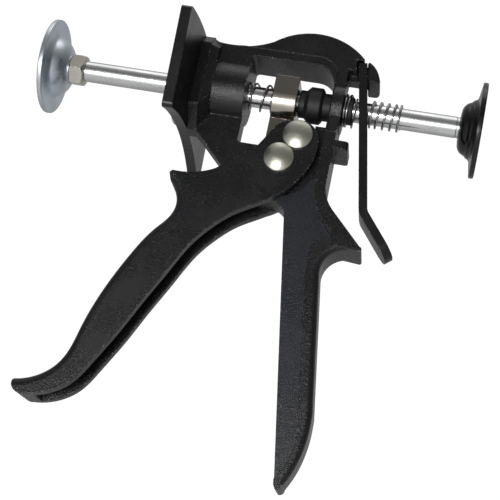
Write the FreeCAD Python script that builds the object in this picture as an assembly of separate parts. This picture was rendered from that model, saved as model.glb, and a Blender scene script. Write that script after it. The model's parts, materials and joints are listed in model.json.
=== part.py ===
"""Ratcheting push-rod spreader (hand press for brake pistons), all sizes in millimetres.

The push rod lies along X with its axis on Z = 0. X = 0 is the working face of the front
disc and +X points back towards the hand. The grip and the trigger hang down along -Z and
every part is symmetric about Y = 0, so the origin is the middle of the working face.
"""
import FreeCAD, Part
import math
import os

V = FreeCAD.Vector
X_AXIS = V(1, 0, 0)
Y_AXIS = V(0, 1, 0)
SPLINE = "Part::GeomBSplineCurve"

# ---------------------------------------------------------------- driving dimensions
ROD_R = 4.8                # push rod radius
ROD_END = 188.4            # rear shoulder of the push rod
STUD_R = 4.0               # threaded ends of the push rod
RUNNING = 0.06             # radial running clearance of sliding and turning fits
FIT = 0.02                 # radial clearance of pieces assembled solid
DISC_R = 21.7              # radius of the front disc
REAR_DISC_R = 21.4         # radius of the rear disc
DISC_RIM = 2.3             # rim thickness of the discs
DOME_H = 7.0               # height of the front disc's domed hub above its rim
OVERALL = 199.1            # front working face to rear face of the rear disc

WASHER_T = 0.6             # lock washer behind the front disc
NUT_AF = 13.0              # hexagon nut across flats
NUT_H = 6.8                # hexagon nut height

FLANGE_X = 70.0            # front face of the casting's flange
FLANGE_T = 4.6             # flange thickness at its edge
SHOULDER_X = 78.6          # rear of the shoulder that slopes from the flange to the boss
BOSS_R = 14.0              # rod boss at the casting's flange
POST_BOSS_R = 11.4         # rod boss on the post
BOSS_END = 93.7            # rear face of the front boss
SPIGOT_R = 11.0            # spigot that carries the pressure plate
RETAINER_R = 18.1          # retaining ring in front of the pressure plate
RETAINER_T = 3.7
PLATE_T = 4.6              # pressure plate thickness
PLATE_GAP = 0.05           # axial play of the pressure plate, each side
PLATE_TOP_R = 188.0        # top edge of the plate, an arc
PLATE_LOW_R = 143.0        # lower edge of the plate, an arc
PLATE_ARC_Z = -165.0       # common centre height of both arcs
PLATE_HALF = 45.0          # half distance between the plate's parallel ends
PLATE_LEAN = 8.0           # lean of the parallel ends, degrees

WEB_HALF = 5.0             # half thickness of the casting's web
PANEL_HALF = 6.3           # half thickness of the sunk handle panel
RIM_HALF = 10.0            # half thickness of the raised rim and top arch
CROWN_HALF = 9.2           # half thickness of the crown above the window's rim
NECK_HALF = 3.0            # half thickness of the neck that joins the hook
HOOK_HALF = 8.6            # half width of the hook behind the lever
HOOK_X0, HOOK_X1 = 144.8, 151.6
GRIP_ROUND = 2.6           # rounding of the grip's rear edges

WINDOW_X0 = 93.7           # window in the casting, front wall
WINDOW_X1 = 132.0          # window, rear wall
WINDOW_TOP = 15.7
WINDOW_R = 9.0             # radius of the window's rear top corner
POST_X1 = 137.0            # rear face of the post
POST_STEP_Z = -14.8        # the post is as thin as the crown above this height
LUG_X1 = 143.2             # rear face of the lever's stop lug
LUG_Z = (-22.4, -18.6)     # underside and top of the lug
SILL_Z = -24.6             # floor of the window in front of the drive sleeve
STEP_X = 127.0             # step up of the floor behind the drive sleeve
STEP_Z = -11.6

PIVOT = (114.5, -31.1)     # trigger pivot, X and Z
DRIVE_PIN = (120.7, -19.4)  # rivet that pushes the drive block
ROOF_END = (143.3, 21.9)   # end of the arch, over the release lever's top
ROOF_Z = 21.2              # underside of the arch over the lever
SWEEP_R = 16.3             # sunk sector of the casting round the pivot
CHANNEL_HALF = 10.6        # half width of the trigger
CHEEK_T = 4.0              # thickness of the trigger's cheeks and back wall
RIVET_R = 2.7
RIVET_HEAD_R = 6.6
RIVET_HEAD_H = 3.1
RIVET_EDGE = 1.3           # height of the rivet head's upright edge
PIVOT_TUBE_R = 6.0         # tube on the pivot rivet, turns in the casting's web
SLEEVE_R = 3.7             # sleeve on the drive rivet

BLOCK_R = 11.0             # half width and lower radius of the drive block's head
BLOCK_TOP = 7.8            # flat top of the head
BLOCK_X0 = 105.8
BLOCK_X1 = 116.8
TONGUE_HALF = 4.0
TONGUE_END = -23.4

BUSH_X0 = 117.2            # guide bush in the post
BUSH_X1 = 141.9
BUSH_R = 6.3
COLLAR_R = 8.3

LEVER_T = 3.8              # release lever bar
LEVER_HALF = 7.6
LEVER_TOP = (140.8, 20.5)  # front face of the lever at its top
LEVER_BEND = (153.0, -49.2)
LEVER_TIP = (167.7, -67.5)
LEVER_BEND_R = 9.0         # outside radius of the bend
LEVER_HOLE_R = 5.6
FORK_HALF = 3.5            # half width of the slot that straddles the neck
FORK_Z = 11.8              # floor of that slot


# ---------------------------------------------------------------- helpers
def vec(point, y=0.0):
    """A point (x, z) on the plane Y = y."""
    return V(point[0], y, point[1])


def outline(start, *steps, closed=True):
    """A wire in the XZ plane: (x, z) is a line, two such points an arc, a list a spline."""
    edges = []
    here = start
    for step in steps:
        if isinstance(step, list):
            curve = Part.BSplineCurve()
            curve.interpolate([vec(point) for point in [here] + step])
            edges.append(curve.toShape())
            end = step[-1]
        elif isinstance(step[0], tuple):
            middle, end = step
            edges.append(Part.Arc(vec(here), vec(middle), vec(end)).toShape())
        else:
            end = step
            edges.append(Part.LineSegment(vec(here), vec(end)).toShape())
        here = end
    if closed and vec(here).distanceToPoint(vec(start)) > 1e-6:
        edges.append(Part.LineSegment(vec(here), vec(start)).toShape())
    return Part.Wire(edges)


def slab(wire_or_face, half, low=None):
    """Extrude an XZ outline along Y, from -half to half or from low to half."""
    face = wire_or_face if isinstance(wire_or_face, Part.Face) else Part.Face(wire_or_face)
    low = -half if low is None else low
    solid = face.copy()
    solid.translate(V(0, low, 0))
    return solid.extrude(V(0, half - low, 0))


def box_xz(x0, x1, z0, z1, half):
    """A box between two X and two Z values, symmetric about Y = 0."""
    return Part.makeBox(x1 - x0, 2 * half, z1 - z0, V(x0, -half, z0))


def rod_cylinder(radius, x0, x1):
    """A cylinder on the push rod's axis."""
    return Part.makeCylinder(radius, x1 - x0, V(x0, 0, 0), X_AXIS)


def cross_cylinder(radius, centre, y0, y1):
    """A cylinder along Y through the point (x, z)."""
    return Part.makeCylinder(radius, y1 - y0, V(centre[0], y0, centre[1]), Y_AXIS)


def tube(outer, inner, x0, x1):
    """A plain ring on the push rod's axis."""
    return rod_cylinder(outer, x0, x1).cut(rod_cylinder(inner, x0 - 1, x1 + 1))


def turned(start, *steps):
    """A solid of revolution about the push rod's axis, from an (x, radius) outline."""
    face = Part.Face(outline(start, *steps))
    return face.revolve(V(0, 0, 0), X_AXIS, 360)


def fuse(first, *others):
    """Join solids into one and clean its seams."""
    return first.fuse(list(others)).removeSplitter()


def round_edges(solid, radius, wanted):
    """Fillet the edges of a solid that the test function picks."""
    picked = [edge for edge in solid.Edges if wanted(edge)]
    return solid.makeFillet(radius, picked)


def along_x(edge):
    """True for a straight edge that runs along X."""
    span = edge.BoundBox
    return span.YLength < 1e-6 and span.ZLength < 1e-6


def hexagon_nut(x0, height, hole_r):
    """A hexagon nut on the push rod's axis with its rear corners turned down."""
    corner = NUT_AF / 2 / math.cos(math.radians(30))
    points = [V(x0, corner * math.cos(a), corner * math.sin(a))
              for a in [math.radians(60 * n + 15) for n in range(6)]]
    body = Part.Face(Part.makePolygon(points + points[:1])).extrude(V(height, 0, 0))
    face_r = NUT_AF / 2 * 0.94
    x1 = x0 + height
    barrel = turned((x0, 0), (x0, face_r), (x0 + 0.6, corner), (x1 - 2.0, corner),
                    ((x1 - 0.5, (face_r + corner) / 2), (x1, face_r - 0.7)), (x1, 0))
    return body.common(barrel).cut(rod_cylinder(hole_r, x0 - 1, x1 + 1))


def coil(wire_r, mean_r, x0, x1, turns):
    """An open left-hand coil spring on the push rod's axis, between two planes."""
    height = x1 - x0 - 2 * wire_r
    path = Part.makeLongHelix(height / turns, height, mean_r, 0, True)
    section = Part.Wire(Part.makeCircle(wire_r, V(mean_r, 0, 0), Y_AXIS))
    spring = Part.Wire(path.Edges).makePipeShell([section], True, True)
    spring.rotate(V(0, 0, 0), Y_AXIS, 90)
    spring.translate(V(x0 + wire_r, 0, 0))
    return spring


# ---------------------------------------------------------------- the casting
def casting_side():
    """The casting's side view: arch, post, spur, grip and the web below the boss."""
    return outline(
        (FLANGE_X + 3, 20.6),
        ((86.0, 19.6), (101.5, 24.2)),
        ((120.0, 31.1), ROOF_END), (ROOF_END[0], ROOF_Z), (139.9, ROOF_Z),
        (140.5, 16.0), (POST_X1, 16.0), (POST_X1, -40.0),
        ((138.4, -45.4), (141.6, -50.4)),
        (156.4, -65.2), ((157.3, -66.5), (156.1, -67.2)),
        (151.8, -66.9), ((143.7, -71.2), (141.7, -80.5)),
        (150.0, -139.0), [(149.9, -148.9), (147.5, -161.0), (143.2, -170.6)],
        ((141.9, -172.2), (140.6, -172.3)), (139.7, -170.6),
        (121.0, -54.0), ((117.0, -50.6), (110.0, -50.0)),
        ((101.0, -47.8), (94.5, -42.2)), (76.5, -24.4), (FLANGE_X + 3, -21.5))


def panel_side():
    """The sunk panel of the grip, open along the grip's front edge."""
    return outline(
        (104.0, -41.0), (108.0, -36.5), (132.5, -36.5),
        ((133.3, -45.5), (139.4, -57.5)),
        (143.0, -61.6), ((143.2, -63.2), (141.6, -64.2)),
        ((136.8, -67.2), (135.7, -73.5)), (135.9, -82.0),
        (144.6, -144.0), ((144.6, -156.0), (139.4, -168.4)),
        (136.0, -160.0), (104.0, -52.0))


def window_side():
    """The window that the drive block and the rod are seen through."""
    return outline(
        (WINDOW_X0, SILL_Z + 1.0), (WINDOW_X0, WINDOW_TOP - 1.5),
        ((WINDOW_X0 + 0.44, WINDOW_TOP - 0.44), (WINDOW_X0 + 1.5, WINDOW_TOP)),
        (WINDOW_X1 - WINDOW_R, WINDOW_TOP),
        ((WINDOW_X1 - WINDOW_R * 0.293, WINDOW_TOP - WINDOW_R * 0.293),
         (WINDOW_X1, WINDOW_TOP - WINDOW_R)),
        (WINDOW_X1, STEP_Z), (STEP_X, STEP_Z), (STEP_X, SILL_Z + 2.0),
        ((STEP_X - 0.59, SILL_Z + 0.59), (STEP_X - 2.0, SILL_Z)),
        (WINDOW_X0 + 1.0, SILL_Z))


def shield(x, corners):
    """A closed wire across the rod at x, from the (y, z) corners of its left half."""
    ring = corners + [(-y, z) for y, z in reversed(corners)]
    points = [V(x, y, z) for y, z in ring]
    return Part.makePolygon(points + points[:1])


def flange():
    """The shield-shaped flange that the pressure plate bears on, and its shoulder."""
    edge = shield(FLANGE_X, [(8.5, 22.4), (14.6, 17.1), (14.6, -13.5), (4.5, -22.0)])
    plate = Part.Face(edge).extrude(V(FLANGE_T, 0, 0))
    plate = round_edges(plate, 1.6, along_x)
    rear = FLANGE_X + FLANGE_T
    wide = shield(rear - 0.5, [(8.1, 22.0), (14.4, 16.5), (14.4, -13.0), (4.5, -21.2)])
    narrow = shield(SHOULDER_X, [(7.6, 20.0), (14.2, 14.8), (14.2, -8.0), (4.8, -15.8)])
    return plate, Part.makeLoft([wide, narrow], True, True)


def hook():
    """The hook behind the release lever and the thin neck that carries it."""
    claw = outline(
        (144.9, 20.6), ((145.1, 21.4), (145.8, 21.2)), ((149.1, 18.2), (151.4, 14.1)),
        ((151.6, 12.8), (150.6, 12.1)), (147.0, 12.0), ((146.4, 12.3), (146.2, 12.9)))
    neck = outline((POST_X1 - 2, 13.0), (147.5, 13.0), (146.5, 20.4), (142.5, 22.3),
                   (139.0, 22.3), (POST_X1 - 2, 18.0))
    plan = Part.makeBox(HOOK_X1 - HOOK_X0, 2 * HOOK_HALF, 12, V(HOOK_X0, -HOOK_HALF, 11))
    plan = round_edges(plan, 2.6, lambda edge: edge.BoundBox.ZLength > 11)
    return slab(claw, HOOK_HALF).common(plan), slab(neck, NECK_HALF)


def frame_casting():
    """The cast body: flange, boss, arch, post, spur and grip in one piece."""
    side = Part.Face(casting_side())
    grip_zone = box_xz(100, 165, -180, -36.5, 20)
    below_window = box_xz(FLANGE_X, WINDOW_X1, -60, 0, 20)
    sweep = cross_cylinder(SWEEP_R, PIVOT, -20, 20)

    web = slab(side, WEB_HALF)
    grip = slab(side, PANEL_HALF).common(grip_zone).cut(sweep)

    def on_grip_rear(edge):
        """True for the long edges down the rear of the grip, below the spur."""
        span = edge.BoundBox
        below_spur = span.ZMin < -70.0 and span.ZMax < -66.0
        return span.YLength < 1e-6 and span.XMin > 141.0 and below_spur

    rim = round_edges(slab(side, RIM_HALF), GRIP_ROUND, on_grip_rear)
    rim = rim.cut(slab(panel_side(), 20)).cut(below_window)
    rim = rim.cut(box_xz(60, 132.5, -180, -36.5, 20))
    crown_line = outline((60, 19.9), (122.0, 19.9), ((128.6, 18.4), (132.5, 14.0)),
                         (132.5, POST_STEP_Z), (150, POST_STEP_Z), (150, 40), (60, 40))
    rim = rim.cut(slab(crown_line, 20).cut(slab(crown_line, CROWN_HALF)))

    body = fuse(web, grip, rim)
    body = body.cut(slab(window_side(), 20))
    claw, neck = hook()
    lug = box_xz(POST_X1 - 2, LUG_X1, LUG_Z[0], LUG_Z[1], RIM_HALF)
    lug = round_edges(lug, 2.0, lambda e: e.BoundBox.XMin > LUG_X1 - 0.1
                      and e.BoundBox.ZLength > 1)
    body = fuse(body, *flange(), rod_cylinder(BOSS_R, FLANGE_X, BOSS_END),
                rod_cylinder(SPIGOT_R, FLANGE_X - 2 * PLATE_GAP - PLATE_T - RETAINER_T, FLANGE_X),
                rod_cylinder(POST_BOSS_R, WINDOW_X1 + 0.6, POST_X1 + 0.4), lug, claw, neck)
    bores = [rod_cylinder(ROD_R + RUNNING, 50, BOSS_END + 10),
             rod_cylinder(BUSH_R, BOSS_END + 20, 139.5),
             cross_cylinder(PIVOT_TUBE_R + RUNNING, PIVOT, -20, 20)]
    for bore in bores:
        body = body.cut(bore)
    return body.removeSplitter()


# ---------------------------------------------------------------- pieces on the casting
def pressure_plate():
    """The arched plate that bears on the fixed side of the job."""
    x0 = FLANGE_X - PLATE_GAP - PLATE_T
    centre = V(x0, 0, PLATE_ARC_Z)
    ring = Part.makeCylinder(PLATE_TOP_R, PLATE_T, centre, X_AXIS)
    ring = ring.cut(Part.makeCylinder(PLATE_LOW_R, PLATE_T, centre, X_AXIS))
    strip = Part.makeBox(PLATE_T, 2 * PLATE_HALF, 160, V(x0, -PLATE_HALF, -80))
    strip.rotate(V(x0, 0, 0), X_AXIS, PLATE_LEAN)
    plate = ring.common(strip)
    plate = round_edges(plate, 2.0, along_x)
    bore = rod_cylinder(SPIGOT_R + RUNNING, x0 - 1, x0 + PLATE_T + 1)
    return plate.cut(bore)


def pad_retainer():
    """The ring pressed on the spigot that keeps the pressure plate on."""
    x1 = FLANGE_X - 2 * PLATE_GAP - PLATE_T
    x0 = x1 - RETAINER_T
    ring = turned((x0, 0), (x0, RETAINER_R - 0.6), ((x0 + 0.18, RETAINER_R - 0.18),
                  (x0 + 0.6, RETAINER_R)), (x1, RETAINER_R), (x1, 0))
    return ring.cut(rod_cylinder(SPIGOT_R + FIT, x0 - 1, x1 + 1))


def guide_bush():
    """The collared bush in the post that guides the rod."""
    bush = turned((BUSH_X0, 0), (BUSH_X0, BUSH_R - 0.4), (BUSH_X0 + 0.4, BUSH_R),
                  (120.0, BUSH_R), (121.9, COLLAR_R), (127.1, COLLAR_R),
                  (127.9, COLLAR_R - 0.9), (128.3, BUSH_R), (BUSH_X1 - 0.4, BUSH_R),
                  (BUSH_X1, BUSH_R - 0.4), (BUSH_X1, 0))
    return bush.cut(rod_cylinder(ROD_R + RUNNING, BUSH_X0 - 1, BUSH_X1 + 1))


# ---------------------------------------------------------------- the trigger
TRIGGER_TOP = (68.2, -45.5)      # upper end of the finger side
TRIGGER_TIP = (22.7, -147.4)     # lower end of the finger side
FINGER_EDGE = [(32.3, -144.0), (39.5, -137.6), (43.1, -130.1), (45.1, -121.9),
               (52.8, -98.4), (59.1, -84.9), (67.4, -71.3), (72.6, -64.3), (73.8, -58.5),
               (72.3, -53.5), (69.0, -48.6)]
REAR_EDGE = [(99.7, -59.3), (92.2, -66.1), (84.8, -75.2), (76.9, -90.2), (69.2, -105.2),
             (62.1, -119.9), (54.0, -134.6), (47.5, -144.6), (41.1, -149.6),
             (34.3, -152.4), (28.1, -153.4)]
CHEEK_END = 25.0                 # the hollow between the cheeks stops here


def trigger_side():
    """The side view of the whole trigger."""
    return outline(
        TRIGGER_TOP, (69.5, -44.5), ((79.8, -43.7), (88.0, -40.6)), (104.2, -26.9),
        (108.6, -19.5), ((111.6, -15.1), (117.0, -12.8)), ((126.9, -14.4), (130.4, -22.4)),
        ((129.4, -30.8), (125.8, -38.0)), ((119.5, -46.6), (111.6, -52.1)),
        [(106.0, -55.4)] + REAR_EDGE, ((23.3, -151.7), TRIGGER_TIP), FINGER_EDGE)


def hollow_side():
    """The side view of the space between the cheeks, inside the back wall."""
    curve = Part.BSplineCurve()
    curve.interpolate([vec(point) for point in [TRIGGER_TIP] + FINGER_EDGE])
    first, last = curve.FirstParameter, curve.LastParameter
    inner = []
    for n in range(15):
        where = first + (last - first) * n / 14
        along = curve.tangent(where)[0]
        point = curve.value(where) + V(along.z, 0, -along.x) * CHEEK_T
        if point.x > CHEEK_END:
            inner.append((point.x, point.z))
    return outline(inner[0], inner[1:], (62, 0), (170, 0), (170, -175),
                   (inner[0][0] - 1.0, -175))


def trigger_channel():
    """The cast trigger: two thick cheeks joined by a rounded finger side."""
    body = slab(trigger_side(), CHANNEL_HALF)

    def on_back(edge):
        """True for the two long splines of the slab that border the finger side."""
        span = edge.BoundBox
        long_spline = edge.Length > 80 and edge.Curve.TypeId == SPLINE
        return span.YLength < 1e-6 and long_spline and span.XMax < 80

    body = round_edges(body, 3.4, on_back)
    body = body.cut(slab(hollow_side(), CHANNEL_HALF - CHEEK_T))
    for centre in (PIVOT, DRIVE_PIN):
        body = body.cut(cross_cylinder(RIVET_R, centre, -20, 20))
    return body.Solids[0]


def rivet(centre):
    """A rivet across the channel with a low domed head on each side."""
    rise = RIVET_HEAD_H - RIVET_EDGE
    dome_r = (RIVET_HEAD_R ** 2 + rise ** 2) / (2 * rise)
    shank = cross_cylinder(RIVET_R - FIT, centre, -CHANNEL_HALF - 1, CHANNEL_HALF + 1)
    heads = []
    for side in (-1, 1):
        ball = Part.makeSphere(dome_r, vec(centre, side * (CHANNEL_HALF + RIVET_HEAD_H - dome_r)))
        low, high = sorted((side * CHANNEL_HALF, side * (CHANNEL_HALF + RIVET_HEAD_H + 1)))
        heads.append(ball.common(cross_cylinder(RIVET_HEAD_R, centre, low, high)))
    return fuse(shank, *heads)


def cross_tube(outer, centre):
    """A tube round a rivet's shank that keeps the two cheeks apart."""
    half = CHANNEL_HALF - CHEEK_T
    ring = cross_cylinder(outer, centre, -half, half)
    return ring.cut(cross_cylinder(RIVET_R + FIT, centre, -half - 1, half + 1))


# ---------------------------------------------------------------- drive block and lever
def drive_block():
    """The block that grips the rod: flat top and sides, round below, with a flat tongue."""
    head = fuse(rod_cylinder(BLOCK_R, BLOCK_X0, BLOCK_X1),
                box_xz(BLOCK_X0, BLOCK_X1, 0, BLOCK_R, BLOCK_R))
    head = head.cut(box_xz(BLOCK_X0 - 1, BLOCK_X1 + 1, BLOCK_TOP, 2 * BLOCK_R, 2 * BLOCK_R))
    head = round_edges(head, 0.5, lambda e: e.BoundBox.XLength < 1e-6)
    tongue = box_xz(BLOCK_X0, BLOCK_X1, TONGUE_END, 0, TONGUE_HALF)
    body = fuse(head, tongue)
    return body.cut(rod_cylinder(ROD_R + RUNNING, BLOCK_X0 - 1, BLOCK_X1 + 1))


def release_lever():
    """The bent flat bar that holds the rod and frees it when it is pressed."""
    front = outline(LEVER_TOP, LEVER_BEND, LEVER_TIP, closed=False)
    strip = front.makeOffset2D(LEVER_T, 0, True, True)
    bar = slab(strip, LEVER_HALF)
    if bar.BoundBox.XMin < LEVER_TOP[0] - 1:
        strip = front.makeOffset2D(-LEVER_T, 0, True, True)
        bar = slab(strip, LEVER_HALF)
    run = vec(LEVER_TIP).sub(vec(LEVER_BEND)).normalize()

    def at_tip(edge):
        """True for the four short edges through the bar's lower end."""
        if edge.BoundBox.YLength > 1e-6:
            return False
        middle = edge.valueAt((edge.FirstParameter + edge.LastParameter) / 2)
        return middle.sub(vec(LEVER_TIP)).dot(run) > -0.5

    bar = round_edges(bar, 6.4, at_tip)
    bends = ((LEVER_BEND_R, LEVER_BEND[0]), (LEVER_BEND_R - LEVER_T, LEVER_BEND[0] + LEVER_T))
    for radius, x in bends:
        bar = round_edges(bar, radius, lambda edge: edge.BoundBox.YLength > 2 * LEVER_HALF - 0.1
                          and abs(edge.BoundBox.ZMax - LEVER_BEND[1]) < 3
                          and abs(edge.BoundBox.XMax - x) < 1)
    slot = box_xz(130, 160, FORK_Z, 40, FORK_HALF)
    hole = Part.makeCylinder(LEVER_HOLE_R, 40, V(130, 0, 0), X_AXIS)
    return bar.cut(slot).cut(hole)


# ---------------------------------------------------------------- rod and discs
def push_rod():
    """The polished rod with a threaded stud at each end."""
    nut_end = DISC_RIM + DOME_H + WASHER_T + NUT_H
    return turned((2.6, 0), (2.6, STUD_R - 0.5), (3.1, STUD_R), (nut_end, STUD_R),
                  (nut_end, ROD_R - 0.3), (nut_end + 0.3, ROD_R), (ROD_END - 0.4, ROD_R),
                  (ROD_END, ROD_R - 0.4), (ROD_END, STUD_R),
                  (OVERALL - 2.8, STUD_R), (OVERALL - 2.8, 0))


def front_disc():
    """The plated disc that pushes the piston, with a domed hub behind."""
    hub_x = DISC_RIM + DOME_H
    disc = turned((0, 0), (0, DISC_R - 0.6), ((0.18, DISC_R - 0.18), (0.6, DISC_R)),
                  (DISC_RIM - 0.6, DISC_R), ((DISC_RIM - 0.18, DISC_R - 0.18),
                  (DISC_RIM, DISC_R - 0.6)), (DISC_RIM, 16.0),
                  ((DISC_RIM + 0.5, 14.6), (DISC_RIM + 1.5, 13.6)),
                  ((DISC_RIM + 4.9, 11.3), (hub_x, 7.8)), (hub_x, 0))
    return disc.cut(rod_cylinder(STUD_R + FIT, 2.5, 20))


def rear_disc():
    """The blacked disc at the rod's rear end, with a deeper drawn dome."""
    face = OVERALL
    inner = face - DISC_RIM
    rim = REAR_DISC_R
    disc = turned((face, 0), (face, rim - 0.6), ((face - 0.18, rim - 0.18),
                  (face - 0.6, rim)), (inner + 0.5, rim),
                  ((inner + 0.15, rim - 0.15), (inner, rim - 0.5)),
                  (inner - 0.9, 15.0), ((inner - 1.4, 13.7), (inner - 2.6, 13.0)),
                  (face - 6.0, 11.9), ((face - 8.5, 10.3), (face - 9.6, 7.3)),
                  (face - 9.8, 6.2), (face - 9.8, 0))
    return disc.cut(rod_cylinder(STUD_R + FIT, face - 11, face - 2.7))


NODES = {
    "frame_casting": frame_casting,
    "guide_bush": guide_bush,
    "pad_retainer": pad_retainer,
    "pressure_plate": pressure_plate,
    "trigger_channel": trigger_channel,
    "pivot_rivet": lambda: rivet(PIVOT),
    "drive_rivet": lambda: rivet(DRIVE_PIN),
    "pivot_tube": lambda: cross_tube(PIVOT_TUBE_R, PIVOT),
    "drive_sleeve": lambda: cross_tube(SLEEVE_R, DRIVE_PIN),
    "drive_block": drive_block,
    "release_lever": release_lever,
    "return_spring": lambda: coil(0.55, 6.0, BOSS_END + 0.1, BLOCK_X0 - 0.1, 2.2),
    "lever_spring": lambda: coil(0.5, 7.1, POST_X1 + 0.5, 143.8, 2.2),
    "bumper_spring": lambda: coil(0.5, 5.85, 149.5, 163.9, 4.4),
    "push_rod": push_rod,
    "front_disc": front_disc,
    "front_washer": lambda: tube(6.8, STUD_R + FIT, DISC_RIM + DOME_H,
                                 DISC_RIM + DOME_H + WASHER_T),
    "front_nut": lambda: hexagon_nut(DISC_RIM + DOME_H + WASHER_T, NUT_H, STUD_R + FIT),
    "rear_disc": rear_disc,
    "rear_washer": lambda: tube(4.7, STUD_R + FIT, ROD_END, OVERALL - 9.8),
}


def main():
    """Write every node to its own STEP file."""
    os.makedirs("parts", exist_ok=True)
    for name, make in NODES.items():
        shape = make()
        shape.exportStep(f"parts/{name}.step")
        print(name, shape.isValid(), len(shape.Solids), round(shape.Volume, 1))


main()
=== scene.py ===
"""Studio scene of a ratcheting push-rod spreader. Metres, same axes as the CAD model."""

import json
import math

import bpy
from mathutils import Matrix, Vector


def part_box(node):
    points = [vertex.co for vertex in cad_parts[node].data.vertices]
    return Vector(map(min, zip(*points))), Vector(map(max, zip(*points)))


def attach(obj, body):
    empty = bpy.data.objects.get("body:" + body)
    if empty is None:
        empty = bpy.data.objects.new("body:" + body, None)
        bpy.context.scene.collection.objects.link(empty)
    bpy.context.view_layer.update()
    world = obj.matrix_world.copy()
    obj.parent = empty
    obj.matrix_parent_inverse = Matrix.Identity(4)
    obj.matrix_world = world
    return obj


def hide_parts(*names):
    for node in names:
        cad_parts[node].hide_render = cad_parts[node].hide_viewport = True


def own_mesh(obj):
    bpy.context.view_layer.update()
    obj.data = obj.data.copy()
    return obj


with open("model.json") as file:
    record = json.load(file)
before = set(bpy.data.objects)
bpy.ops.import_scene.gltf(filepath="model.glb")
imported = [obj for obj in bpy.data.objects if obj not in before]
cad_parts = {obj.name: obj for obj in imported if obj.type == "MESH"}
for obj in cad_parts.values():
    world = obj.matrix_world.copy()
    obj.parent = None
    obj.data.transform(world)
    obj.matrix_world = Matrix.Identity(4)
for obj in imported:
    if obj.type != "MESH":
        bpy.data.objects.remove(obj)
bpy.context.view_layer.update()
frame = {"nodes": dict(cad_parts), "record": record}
nodes = frame["nodes"]

MM = 0.001
WHITE = (1.0, 1.0, 1.0)


# ------------------------------------------------------------------ node helpers
LEVEL_SLACK_MM = 0.05      # how far from its level a face may be and still count
EDGE_FROM, EDGE_FULL = 0.995, 0.86   # cosine between true and rounded normal, at 0 and at 1


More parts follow.
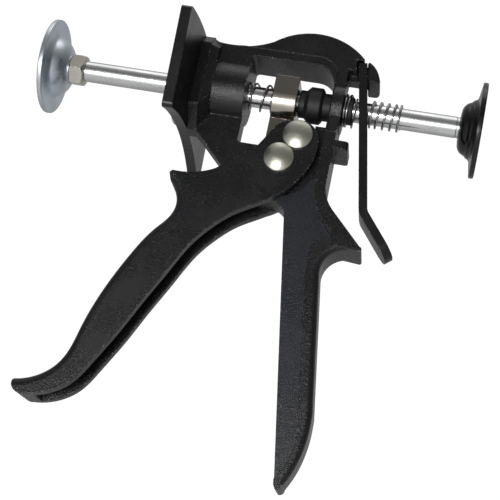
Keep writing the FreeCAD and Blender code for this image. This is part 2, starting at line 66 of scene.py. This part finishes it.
class Shader:
    """A material's node tree with short calls to add and join nodes."""

    def __init__(self, name):
        self.material = bpy.data.materials.new(name)
        self.material.use_nodes = True
        self.tree = self.material.node_tree
        self.tree.nodes.clear()
        self.output = self.tree.nodes.new("ShaderNodeOutputMaterial")
        self.bsdf = self.add("ShaderNodeBsdfPrincipled")
        self.tree.links.new(self.bsdf.outputs["BSDF"], self.output.inputs["Surface"])
        self.place = self.add("ShaderNodeTexCoord").outputs["Object"]

    def add(self, kind, **settings):
        """A new node with its properties set."""
        node = self.tree.nodes.new(kind)
        for key, value in settings.items():
            setattr(node, key, value)
        return node

    def feed(self, socket, value):
        """Set a socket to a constant, or link it to another node's output."""
        if isinstance(value, bpy.types.NodeSocket):
            self.tree.links.new(value, socket)
        else:
            socket.default_value = value

    def math(self, operation, first, second=0.0, clamp=False):
        """A maths node's result."""
        node = self.add("ShaderNodeMath", operation=operation, use_clamp=clamp)
        self.feed(node.inputs[0], first)
        self.feed(node.inputs[1], second)
        return node.outputs[0]

    def stretch(self, scale):
        """The object coordinates scaled differently along each axis."""
        node = self.add("ShaderNodeMapping")
        self.feed(node.inputs["Vector"], self.place)
        node.inputs["Scale"].default_value = scale
        return node.outputs["Vector"]

    def noise(self, size_mm, detail=3.0, rough=0.55, scale=None):
        """Noise from 0 to 1 whose features are about size_mm across."""
        node = self.add("ShaderNodeTexNoise")
        self.feed(node.inputs["Vector"], self.stretch(scale) if scale else self.place)
        node.inputs["Scale"].default_value = 1.0 / (size_mm * MM)
        node.inputs["Detail"].default_value = detail
        node.inputs["Roughness"].default_value = rough
        return node.outputs["Fac"]

    def ramp(self, value, stops):
        """A colour ramp; each stop is (position, colour or grey)."""
        node = self.add("ShaderNodeValToRGB")
        ramp = node.color_ramp
        while len(ramp.elements) < len(stops):
            ramp.elements.new(0.5)
        for element, (position, colour) in zip(ramp.elements, stops):
            if isinstance(colour, (int, float)):
                colour = (colour, colour, colour)
            element.position = position
            element.color = (*colour, 1.0)
        self.feed(node.inputs["Fac"], value)
        return node.outputs["Color"]

    def span(self, value, low, high, start=0.0, end=1.0):
        """Map a value from start..end to low..high."""
        node = self.add("ShaderNodeMapRange")
        self.feed(node.inputs["Value"], value)
        node.inputs["From Min"].default_value = start
        node.inputs["From Max"].default_value = end
        node.inputs["To Min"].default_value = low
        node.inputs["To Max"].default_value = high
        return node.outputs["Result"]

    def mix(self, factor, first, second):
        """A colour between two colours."""
        node = self.add("ShaderNodeMix", data_type="RGBA")
        self.feed(node.inputs[0], factor)
        for socket, value in ((node.inputs[6], first), (node.inputs[7], second)):
            self.feed(socket, (*value, 1.0) if isinstance(value, tuple) else value)
        return node.outputs[2]

    def soft_edges(self, radius_mm):
        """The surface normal with its edges rounded off."""
        node = self.add("ShaderNodeBevel", samples=4)
        node.inputs["Radius"].default_value = radius_mm * MM
        return node.outputs["Normal"]

    def bump(self, height, depth_mm, normal):
        """Relief of the given depth on top of a normal."""
        node = self.add("ShaderNodeBump")
        node.inputs["Strength"].default_value = 1.0
        node.inputs["Distance"].default_value = depth_mm * MM
        self.feed(node.inputs["Height"], height)
        self.feed(node.inputs["Normal"], normal)
        return node.outputs["Normal"]

    def edge_mask(self, rounded):
        """1 near sharp edges and 0 on flat faces, from the rounded normal."""
        geometry = self.add("ShaderNodeNewGeometry")
        dot = self.add("ShaderNodeVectorMath", operation="DOT_PRODUCT")
        self.feed(dot.inputs[0], rounded)
        self.feed(dot.inputs[1], geometry.outputs["True Normal"])
        return self.span(dot.outputs["Value"], 1.0, 0.0, EDGE_FULL, EDGE_FROM)

    def level_mask(self, level_mm):
        """1 on faces that lie at one distance from the middle plane, else 0."""
        split = self.add("ShaderNodeSeparateXYZ")
        self.feed(split.inputs["Vector"], self.place)
        away = self.math("ABSOLUTE", split.outputs["Y"])
        same = self.math("COMPARE", away, level_mm * MM)
        same.node.inputs[2].default_value = LEVEL_SLACK_MM * MM
        return same

    def set(self, **values):
        """Set or link inputs of the main shader, with underscores for spaces."""
        for key, value in values.items():
            socket = self.bsdf.inputs[key.replace("_", " ")]
            if isinstance(value, tuple) and len(value) == 3:
                value = (*value, 1.0)
            self.feed(socket, value)


# ------------------------------------------------------------------ materials
CLOUD_MM = 14.0            # patches of a coating's gloss and tint
FLECK_MM = 0.9             # chips along a coating's edges
SCRATCH_MM = 0.25          # width of the scratches on bare metal
SCRATCH_DEPTH_MM = 0.004
DENT_MM = 3.2              # width of the dents on the rivets
BARE_METAL = (0.42, 0.42, 0.43)   # what shows where a coating is chipped
STAIN_SHARE = 0.35         # how strongly a plating's tints show


def coated(name, colour, tint, rough, grain_mm, grain_depth, edge_mm, chips, panel=None):
    """Black coating over metal: grain, cloudy gloss, and chips at the edges.

    A panel is the distance of its faces from the middle plane, in mm, and their colour. That colour
    is lighter than the body: painted sheen standing in for the key light those faces catch.
    """
    shader = Shader(name)
    rounded = shader.soft_edges(edge_mm)
    cloud = shader.noise(CLOUD_MM, 4.0)
    grain = shader.noise(grain_mm, 5.0, 0.7)
    fleck = shader.noise(FLECK_MM, 2.0, 0.5)
    body = shader.mix(shader.span(cloud, 0.0, 1.0, 0.35, 0.65), colour, tint)
    if panel:
        # painted sheen: faces at the panel's level get a lighter black in place of the light they
        # catch
        level_mm, painted_sheen_colour = panel
        body = shader.mix(shader.level_mask(level_mm), body, painted_sheen_colour)
    worn = shader.math("MULTIPLY", shader.edge_mask(rounded),
                       shader.span(fleck, 0.0, 1.0, 0.60, 0.66), True)
    worn = shader.math("MULTIPLY", worn, chips, True)
    shader.set(Base_Color=shader.mix(worn, body, BARE_METAL))
    gloss = shader.math("ADD", shader.span(cloud, rough - 0.05, rough + 0.06, 0.3, 0.7),
                        shader.span(grain, -0.05, 0.05, 0.3, 0.7))
    shader.set(Roughness=gloss)
    shader.set(Normal=shader.bump(grain, grain_depth, rounded))
    return shader.material


def steel(name, bright, shade, rough, edge_mm, brush=None, mottle_mm=9.0, tints=None,
          dents=0.0):
    """Bare or plated metal: cloudy colour, fine scratches, smudged gloss, maybe dents.

    A brush stretches the scratches: an axis scaled up has them short, scaled down long.
    """
    shader = Shader(name)
    rounded = shader.soft_edges(edge_mm)
    cloud = shader.noise(mottle_mm, 4.0)
    scratch = shader.noise(SCRATCH_MM, 3.0, 0.6, brush or (1.0, 1.0, 1.0))
    base = shader.mix(shader.span(cloud, 0.0, 1.0, 0.3, 0.7), bright, shade)
    if tints:
        drift = shader.noise(mottle_mm * 1.7, 2.0)
        stain = shader.ramp(drift, tints)
        base = shader.mix(STAIN_SHARE, base, stain)
    shader.set(Base_Color=base)
    shader.bsdf.inputs["Metallic"].default_value = 1.0
    shader.set(Roughness=shader.math(
        "ADD", shader.span(scratch, -0.04, 0.05, 0.3, 0.7),
        shader.span(cloud, rough - 0.03, rough + 0.04, 0.3, 0.7)))
    if dents:
        rounded = shader.bump(shader.noise(DENT_MM, 1.0), dents, rounded)
    shader.set(Normal=shader.bump(scratch, SCRATCH_DEPTH_MM, rounded))
    return shader.material


def build_materials():
    """One finished material for each of the record's slots."""
    zinc_tints = [(0.30, (0.50, 0.58, 0.70)), (0.45, (0.66, 0.68, 0.70)),
                  (0.58, (0.70, 0.68, 0.58)), (0.72, (0.56, 0.64, 0.72))]
    long_marks = (0.04, 1.0, 1.0)
    ring_marks = (8.0, 0.6, 0.6)
    # painted sheen: the grip's panel faces get a lighter black than the frame, standing in for the
    # key light they scatter
    grip_panel_painted_sheen = (6.3, (0.0150, 0.0165, 0.0205))
    return {
        "cast_frame": coated(
            "cast_frame", (0.0045, 0.0047, 0.0054), (0.0065, 0.0068, 0.0080), rough=0.27,
            grain_mm=0.80, grain_depth=0.20, edge_mm=0.9, chips=1.0, panel=grip_panel_painted_sheen),
        "black_paint": coated(
            "black_paint", (0.0040, 0.0040, 0.0042), (0.0060, 0.0060, 0.0062), rough=0.29,
            grain_mm=0.45, grain_depth=0.05, edge_mm=0.45, chips=0.8),
        "gloss_black": coated(
            "gloss_black", (0.0035, 0.0035, 0.0038), (0.005, 0.005, 0.006), rough=0.20,
            grain_mm=0.8, grain_depth=0.006, edge_mm=0.5, chips=0.2),
        "black_steel": coated(
            "black_steel", (0.005, 0.005, 0.0052), (0.009, 0.009, 0.009), rough=0.58,
            grain_mm=0.3, grain_depth=0.010, edge_mm=0.3, chips=0.3),
        "bare_steel": steel(
            "bare_steel", (0.47, 0.44, 0.39), (0.38, 0.35, 0.31), rough=0.17, edge_mm=0.3,
            brush=long_marks),
        "bright_steel": steel(
            "bright_steel", (0.78, 0.78, 0.77), (0.68, 0.69, 0.70), rough=0.23, edge_mm=0.2,
            brush=ring_marks),
        "zinc_plate": steel(
            "zinc_plate", (0.74, 0.82, 0.92), (0.56, 0.63, 0.74), rough=0.33, edge_mm=0.5,
            mottle_mm=7.0, tints=zinc_tints),
        "nut_steel": steel(
            "nut_steel", (0.74, 0.72, 0.65), (0.60, 0.57, 0.51), rough=0.30, edge_mm=0.35),
        "rivet_steel": steel(
            "rivet_steel", (0.60, 0.60, 0.52), (0.42, 0.42, 0.36), rough=0.34, edge_mm=0.4,
            dents=0.14),
        "spring_steel": steel(
            "spring_steel", (0.50, 0.50, 0.50), (0.34, 0.34, 0.36), rough=0.20, edge_mm=0.2),
    }


def dress(materials):
    """Give every CAD node its finished material."""
    slots = {part["node"]: part["material_slot"] for part in frame["record"]["subparts"]}
    for name, piece in nodes.items():
        piece.data.materials.clear()
        piece.data.materials.append(materials[slots[name]])


# A spring's turns are (turn, distance from its front end in millimetres), and whole turns
# are where the wire crosses the near side. A squeezed spring names its joint, whether its
# rear end is the held one, and the share of its length that is left at the joint's limit.
SPRINGS = {
    "return_spring": {
        "body": "drive",
        "turns": [(-1.0, 0.50), (-0.55, 0.60), (0.0, 1.9), (1.0, 7.9), (1.55, 11.2), (2.0, 11.4)],
        "squeeze": ("drive_slide", True, 0.43),
    },
    "lever_spring": {
        "body": "frame",
        "turns": [(-0.75, 0.50), (0.0, 0.65), (1.0, 2.0), (2.0, 5.6), (2.08, 5.7)],
        "squeeze": ("lever_pivot", False, 0.70),
    },
    "bumper_spring": {
        "body": "frame",
        "turns": [(-0.3, 0.50), (0.0, 0.7), (1.0, 3.9), (2.0, 7.2), (3.0, 10.5), (3.75, 12.9),
                  (4.6, 13.9)],
    },
}
WIRE_R = 0.50 * MM         # half the wire's thickness
STEPS = 36                 # points along one turn of wire
SIDES = 12                 # corners of the wire's section


def between(keys, value):
    """The straight-line value between the two keys on either side."""
    for (t0, x0), (t1, x1) in zip(keys, keys[1:]):
        if value <= t1:
            return x0 + (x1 - x0) * (value - t0) / (t1 - t0)
    return keys[-1][1]


def coil_path(front, mean_r, keys):
    """The wire's centre line, and at each point the direction away from the rod."""
    count = int(round((keys[-1][0] - keys[0][0]) * STEPS)) + 1
    path, arms = [], []
    for n in range(count):
        turn = keys[0][0] + n / STEPS
        angle = 2 * math.pi * turn
        arm = Vector((0.0, -math.cos(angle), math.sin(angle)))
        arms.append(arm)
        path.append(Vector((front + between(keys, turn) * MM, 0.0, 0.0)) + arm * mean_r)
    return path, arms


def wire_mesh(name, path, arms):
    """A round wire along a path, closed at both ends."""
    count = len(path)
    corners, faces = [], []
    for n, (point, arm) in enumerate(zip(path, arms)):
        ahead = (path[min(n + 1, count - 1)] - path[max(n - 1, 0)]).normalized()
        across = ahead.cross(arm).normalized()
        for side in range(SIDES):
            turn = 2 * math.pi * side / SIDES
            corners.append(point + (arm * math.cos(turn) + across * math.sin(turn)) * WIRE_R)
    for n in range(count - 1):
        for side in range(SIDES):
            here, after = n * SIDES, n * SIDES + SIDES
            step = (side + 1) % SIDES
            faces.append((here + side, here + step, after + step, after + side))
    faces.append(tuple(reversed(range(SIDES))))
    faces.append(tuple(range((count - 1) * SIDES, count * SIDES)))
    mesh = bpy.data.meshes.new(name)
    mesh.from_pydata(corners, [], faces)
    for face in mesh.polygons:
        face.use_smooth = len(face.vertices) == 4
    return mesh


def wound_spring(node, plan, material):
    """A left-hand coil spring with closed ends, in place of the plain CAD coil."""
    body = plan["body"]
    low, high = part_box(node)
    path, arms = coil_path(low.x, high.z - WIRE_R, plan["turns"])
    mesh = wire_mesh(node + "_wound", path, arms)
    mesh.materials.append(material)
    spring = bpy.data.objects.new(mesh.name, mesh)
    bpy.context.scene.collection.objects.link(spring)
    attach(spring, body)
    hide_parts(node)
    if "squeeze" in plan:
        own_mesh(spring)


materials = build_materials()
dress(materials)
for node, plan in SPRINGS.items():
    wound_spring(node, plan, materials["spring_steel"])


# ------------------------------------------------------------------ stage and light
FLOOR_Z = -0.62            # the floor's height
FLOOR_HALF = 40.0          # half the floor's side
FLOOR_GLOW = 0.52          # light that the floor gives off to the camera alone
PAPER_MM = 300.0           # patches of the floor's tone


def backdrop():
    """A plain pale floor, well below the part because the part is held in the hand."""
    corners = [(-1, -1), (1, -1), (1, 1), (-1, 1)]
    mesh = bpy.data.meshes.new("floor")
    mesh.from_pydata([(x * FLOOR_HALF, y * FLOOR_HALF, FLOOR_Z) for x, y in corners],
                     [], [(0, 1, 2, 3)])
    floor = bpy.data.objects.new("floor", mesh)
    bpy.context.scene.collection.objects.link(floor)
    shader = Shader("floor_paper")
    tone = shader.noise(PAPER_MM, 2.0)
    shader.set(Base_Color=shader.mix(tone, (0.86, 0.86, 0.86), (0.90, 0.90, 0.90)))
    shader.set(Roughness=shader.span(tone, 0.75, 0.85))
    path = shader.add("ShaderNodeLightPath")
    shader.set(Emission_Color=WHITE)
    shader.set(Emission_Strength=shader.math("MULTIPLY", path.outputs["Is Camera Ray"], FLOOR_GLOW))
    floor.data.materials.append(shader.material)


def softbox(name, place, target, width, height, power):
    """A rectangular area light aimed at a point."""
    light = bpy.data.lights.new(name, "AREA")
    light.shape = "RECTANGLE"
    light.size, light.size_y = width, height
    light.energy = power
    holder = bpy.data.objects.new(name, light)
    holder.location = place
    holder.rotation_euler = (Vector(target) - Vector(place)).to_track_quat("-Z", "Y").to_euler()
    holder.visible_camera = False
    bpy.context.scene.collection.objects.link(holder)


# Brightness of the room by the sine of its elevation, from straight down to straight up.
ROOM = [(-1.0, 0.50), (-0.8, 0.20), (-0.5, 0.14), (0.0, 0.30), (0.14, 0.22), (0.32, 0.11),
        (0.73, 0.30), (1.0, 0.60)]
BACKDROP = 0.44            # brightness of the room behind the part
BEHIND_FROM, BEHIND_FULL = 0.30, 0.85   # share of +Y where the backdrop fades in
SHOWN_WHITE = 1.05         # brightness of the room as the camera sees it


def surroundings():
    """Seen directly the room is white; as light it is dim in front and brighter behind."""
    world = bpy.data.worlds.new("studio")
    bpy.context.scene.world = world
    world.use_nodes = True
    tree = world.node_tree
    tree.nodes.clear()
    out = tree.nodes.new("ShaderNodeOutputWorld")
    shown = tree.nodes.new("ShaderNodeBackground")
    shown.inputs["Color"].default_value = (*WHITE, 1.0)
    shown.inputs["Strength"].default_value = SHOWN_WHITE
    lit = tree.nodes.new("ShaderNodeBackground")
    place = tree.nodes.new("ShaderNodeTexCoord")
    split = tree.nodes.new("ShaderNodeSeparateXYZ")
    tree.links.new(place.outputs["Generated"], split.inputs["Vector"])
    ramp = tree.nodes.new("ShaderNodeValToRGB")
    while len(ramp.color_ramp.elements) < len(ROOM):
        ramp.color_ramp.elements.new(0.5)
    for element, (height, grey) in zip(ramp.color_ramp.elements, ROOM):
        element.position = (height + 1) / 2
        element.color = (grey, grey, grey, 1.0)
    level = tree.nodes.new("ShaderNodeMapRange")
    level.inputs["From Min"].default_value = -1.0
    tree.links.new(split.outputs["Z"], level.inputs["Value"])
    tree.links.new(level.outputs["Result"], ramp.inputs["Fac"])
    behind = tree.nodes.new("ShaderNodeMapRange")
    behind.interpolation_type = "SMOOTHSTEP"
    behind.inputs["From Min"].default_value = BEHIND_FROM
    behind.inputs["From Max"].default_value = BEHIND_FULL
    tree.links.new(split.outputs["Y"], behind.inputs["Value"])
    blend = tree.nodes.new("ShaderNodeMix")
    blend.data_type = "RGBA"
    tree.links.new(behind.outputs["Result"], blend.inputs[0])
    tree.links.new(ramp.outputs["Color"], blend.inputs[6])
    blend.inputs[7].default_value = (BACKDROP, BACKDROP, BACKDROP, 1.0)
    tree.links.new(blend.outputs[2], lit.inputs["Color"])
    path = tree.nodes.new("ShaderNodeLightPath")
    pick = tree.nodes.new("ShaderNodeMixShader")
    tree.links.new(path.outputs["Is Camera Ray"], pick.inputs["Fac"])
    tree.links.new(lit.outputs["Background"], pick.inputs[1])
    tree.links.new(shown.outputs["Background"], pick.inputs[2])
    tree.links.new(pick.outputs["Shader"], out.inputs["Surface"])


CENTRE = Vector((0.11, 0.0, -0.03))   # what the lights are aimed at
POOL_UP = 0.32             # height of the lamp over the floor
POOL_SIZE = 0.25


def direction(azimuth, elevation):
    """A unit vector from angles in degrees; azimuth 0 is in front and +90 on the right."""
    turn, lift = math.radians(azimuth), math.radians(elevation)
    return Vector((math.sin(turn) * math.cos(lift), -math.cos(turn) * math.cos(lift),
                   math.sin(lift)))


def aimed(name, azimuth, elevation, distance, width, height, power):
    """A softbox that faces the part from the given direction and distance."""
    place = CENTRE + direction(azimuth, elevation) * distance
    softbox(name, place, CENTRE, width, height, power)


def studio():
    """A soft key low in front, a wide overhead sheet and a weak lamp over the floor."""
    surroundings()
    aimed("key", azimuth=-10.0, elevation=-20.0, distance=1.2, width=0.42, height=0.22, power=7.2)
    aimed("overhead", azimuth=0.0, elevation=80.0, distance=1.0, width=0.9, height=0.6, power=1.5)
    under = Vector((CENTRE.x, 0.0, FLOOR_Z))
    softbox("pool", under + Vector((0.0, 0.0, POOL_UP)), under, POOL_SIZE, POOL_SIZE, power=0.35)


# The view was fitted to the photograph by least squares: it puts the rod's edges, the discs'
# outlines and the edges that run away from the camera where the photograph shows them.
VIEW_TARGET = Vector((0.10898, 0.0, -0.07182))   # the point in the middle of the frame
VIEW_DISTANCE = 0.55845
VIEW_AZIMUTH = 8.571       # degrees to the right of straight in front
VIEW_ELEVATION = -16.157   # degrees; below the target
VIEW_ROLL = 12.026         # degrees the camera leans left, so the picture turns clockwise
LENS, SENSOR = 91.94, 36.0   # focal length and sensor width, millimetres


def camera():
    """The camera, below the part and a little to its right, and rolled."""
    back = direction(VIEW_AZIMUTH, VIEW_ELEVATION)
    level = back.to_track_quat("Z", "Y").to_matrix().to_4x4()
    data = bpy.data.cameras.new("camera")
    data.sensor_width = SENSOR
    data.lens = LENS
    data.clip_start = 0.01
    holder = bpy.data.objects.new("camera", data)
    spin = Matrix.Rotation(math.radians(VIEW_ROLL), 4, "Z")
    holder.matrix_world = Matrix.Translation(VIEW_TARGET + back * VIEW_DISTANCE) @ level @ spin
    bpy.context.scene.collection.objects.link(holder)
    bpy.context.scene.camera = holder


backdrop()
studio()
camera()
bpy.context.scene.view_settings.view_transform = "Standard"
